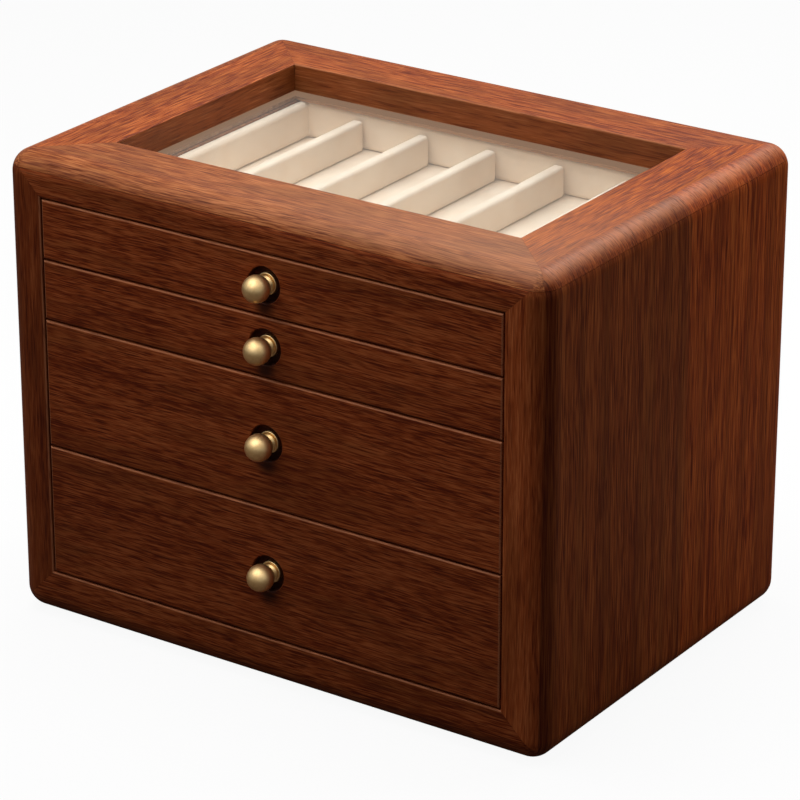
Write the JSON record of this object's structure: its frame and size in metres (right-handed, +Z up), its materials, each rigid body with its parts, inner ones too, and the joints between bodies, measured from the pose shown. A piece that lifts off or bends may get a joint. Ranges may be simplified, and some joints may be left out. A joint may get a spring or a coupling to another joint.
{
  "type": "jewelry box with drawers",
  "caption": "Wooden jewelry box with a hinged glass lid over a divided velvet tray, and sliding drawers with round brass knobs below.",
  "frame": {"origin": "middle of the underside, on the surface that the box stands on", "axes": "+Z up, -Y out of the front that the drawers open to, +X to the right seen from the front"},
  "size_m": [0.3, 0.2338, 0.236],
  "materials": {
    "case_wood": "red-brown veneer, satin lacquer, open straight grain",
    "inner_wood": "stained and sealed, thin satin lacquer",
    "velvet": "cream short-pile velvet over card",
    "felt": "dark brown pressed felt",
    "brass": "aged turned brass, satin",
    "steel": "plain zinc-plated steel",
    "glass": "clear polished float glass"
  },
  "bodies": {
    "case": {"back_panel": "case_wood", "base_felt": "felt", "bottom_panel": "inner_wood", "bottom_rail": "case_wood", "deck_cleats": "inner_wood", "drawer_shelf_1": "inner_wood", "drawer_shelf_2": "inner_wood", "drawer_shelf_3": "inner_wood", "drawer_shelf_4": "inner_wood", "hinge_lower_leaves": "brass", "hinge_lower_screws": "brass", "hinge_pins": "brass", "left_guide_panel": "inner_wood", "left_side_panel": "case_wood", "left_stile": "case_wood", "right_guide_panel": "inner_wood", "right_side_panel": "case_wood", "right_stile": "case_wood", "top_rail": "case_wood", "tray_base": "velvet", "tray_deck": "case_wood", "tray_dividers": "velvet", "tray_walls": "velvet"},
    "lid": {"glass_beads": "case_wood", "hinge_upper_leaves": "brass", "hinge_upper_screws": "brass", "lid_back_member": "case_wood", "lid_end_liners": "case_wood", "lid_front_member": "case_wood", "lid_glass": "glass", "lid_left_member": "case_wood", "lid_right_member": "case_wood", "lid_side_liners": "case_wood"},
    "drawer_1": {"drawer_1_base": "inner_wood", "drawer_1_front": "case_wood", "drawer_1_knob": "brass", "drawer_1_knob_screw": "steel", "drawer_1_lining": "velvet", "drawer_1_walls": "inner_wood"},
    "drawer_2": {"drawer_2_base": "inner_wood", "drawer_2_front": "case_wood", "drawer_2_knob": "brass", "drawer_2_knob_screw": "steel", "drawer_2_lining": "velvet", "drawer_2_walls": "inner_wood"},
    "drawer_3": {"drawer_3_base": "inner_wood", "drawer_3_front": "case_wood", "drawer_3_knob": "brass", "drawer_3_knob_screw": "steel", "drawer_3_lining": "velvet", "drawer_3_walls": "inner_wood"},
    "drawer_4": {"drawer_4_base": "inner_wood", "drawer_4_front": "case_wood", "drawer_4_knob": "brass", "drawer_4_knob_screw": "steel", "drawer_4_lining": "velvet", "drawer_4_walls": "inner_wood"}
  },
  "joints": [
    {"name": "lid_hinge", "type": "hinge", "parent": "case", "child": "lid", "pos_m": [0, 0.11066, 0.22887], "axis": [-1, 0, 0], "range_deg": [0, 95]},
    {"name": "drawer_1_slide", "type": "slide", "parent": "case", "child": "drawer_1", "axis": [0, -1, 0], "range_m": [0, 0.13]},
    {"name": "drawer_2_slide", "type": "slide", "parent": "case", "child": "drawer_2", "axis": [0, -1, 0], "range_m": [0, 0.13]},
    {"name": "drawer_3_slide", "type": "slide", "parent": "case", "child": "drawer_3", "axis": [0, -1, 0], "range_m": [0, 0.13]},
    {"name": "drawer_4_slide", "type": "slide", "parent": "case", "child": "drawer_4", "axis": [0, -1, 0], "range_m": [0, 0.13]}
  ]
}
